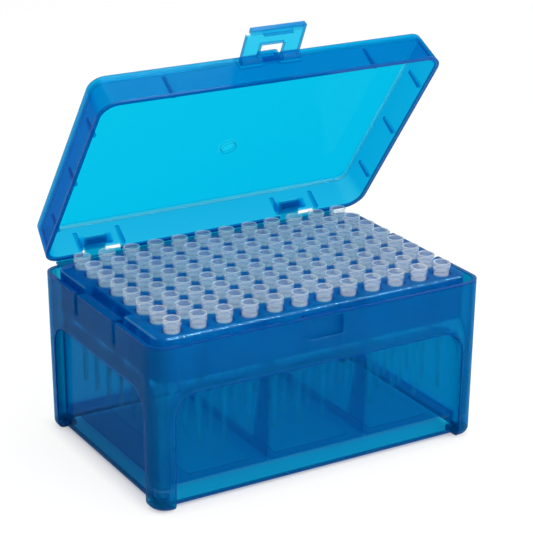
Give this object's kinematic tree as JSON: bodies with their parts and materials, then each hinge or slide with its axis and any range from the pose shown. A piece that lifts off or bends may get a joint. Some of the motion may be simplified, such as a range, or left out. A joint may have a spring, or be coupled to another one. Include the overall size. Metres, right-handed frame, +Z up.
{
  "type": "pipette tip box",
  "caption": "Hinged translucent box of pipette tips: tall arched base on four feet, perforated tray of slim tips, shallow lid propped open with a snap clasp.",
  "frame": {"origin": "in the plane of the four feet, under the centre of the grid of tips", "axes": "+X right along the hinge axis and the rows of twelve, +Y back towards the hinges, +Z up"},
  "size_m": [0.1236, 0.0855, 0.1397],
  "materials": {
    "base_plastic": "glossy translucent blue",
    "tray_plastic": "glossy dark blue",
    "lid_plastic": "glossy translucent light blue",
    "clasp_plastic": "glossy translucent light blue",
    "tip_plastic": "clear, slightly frosted"
  },
  "bodies": {
    "base": {"base": "base_plastic", "tray": "tray_plastic", "tips_a01_a04": "tip_plastic", "tips_a05_a08": "tip_plastic", "tips_a09_a12": "tip_plastic", "tips_b01_b04": "tip_plastic", "tips_b05_b08": "tip_plastic", "tips_b09_b12": "tip_plastic", "tips_c01_c04": "tip_plastic", "tips_c05_c08": "tip_plastic", "tips_c09_c12": "tip_plastic", "tips_d01_d04": "tip_plastic", "tips_d05_d08": "tip_plastic", "tips_d09_d12": "tip_plastic", "tips_e01_e04": "tip_plastic", "tips_e05_e08": "tip_plastic", "tips_e09_e12": "tip_plastic", "tips_f01_f04": "tip_plastic", "tips_f05_f08": "tip_plastic", "tips_f09_f12": "tip_plastic", "tips_g01_g04": "tip_plastic", "tips_g05_g08": "tip_plastic", "tips_g09_g12": "tip_plastic", "tips_h01_h04": "tip_plastic", "tips_h05_h08": "tip_plastic", "tips_h09_h12": "tip_plastic"},
    "lid": {"lid": "lid_plastic"},
    "clasp": {"clasp": "clasp_plastic"}
  },
  "joints": [
    {"name": "lid_hinge", "type": "hinge", "parent": "base", "child": "lid", "pos_m": [0, 0.0412, 0.0609], "axis": [1, 0, 0], "range_deg": [-61.5, 53.5]},
    {"name": "clasp_hinge", "type": "hinge", "parent": "lid", "child": "clasp", "pos_m": [0, -0.00499, 0.12837], "axis": [1, 0, 0], "range_deg": [-40, 101]}
  ]
}
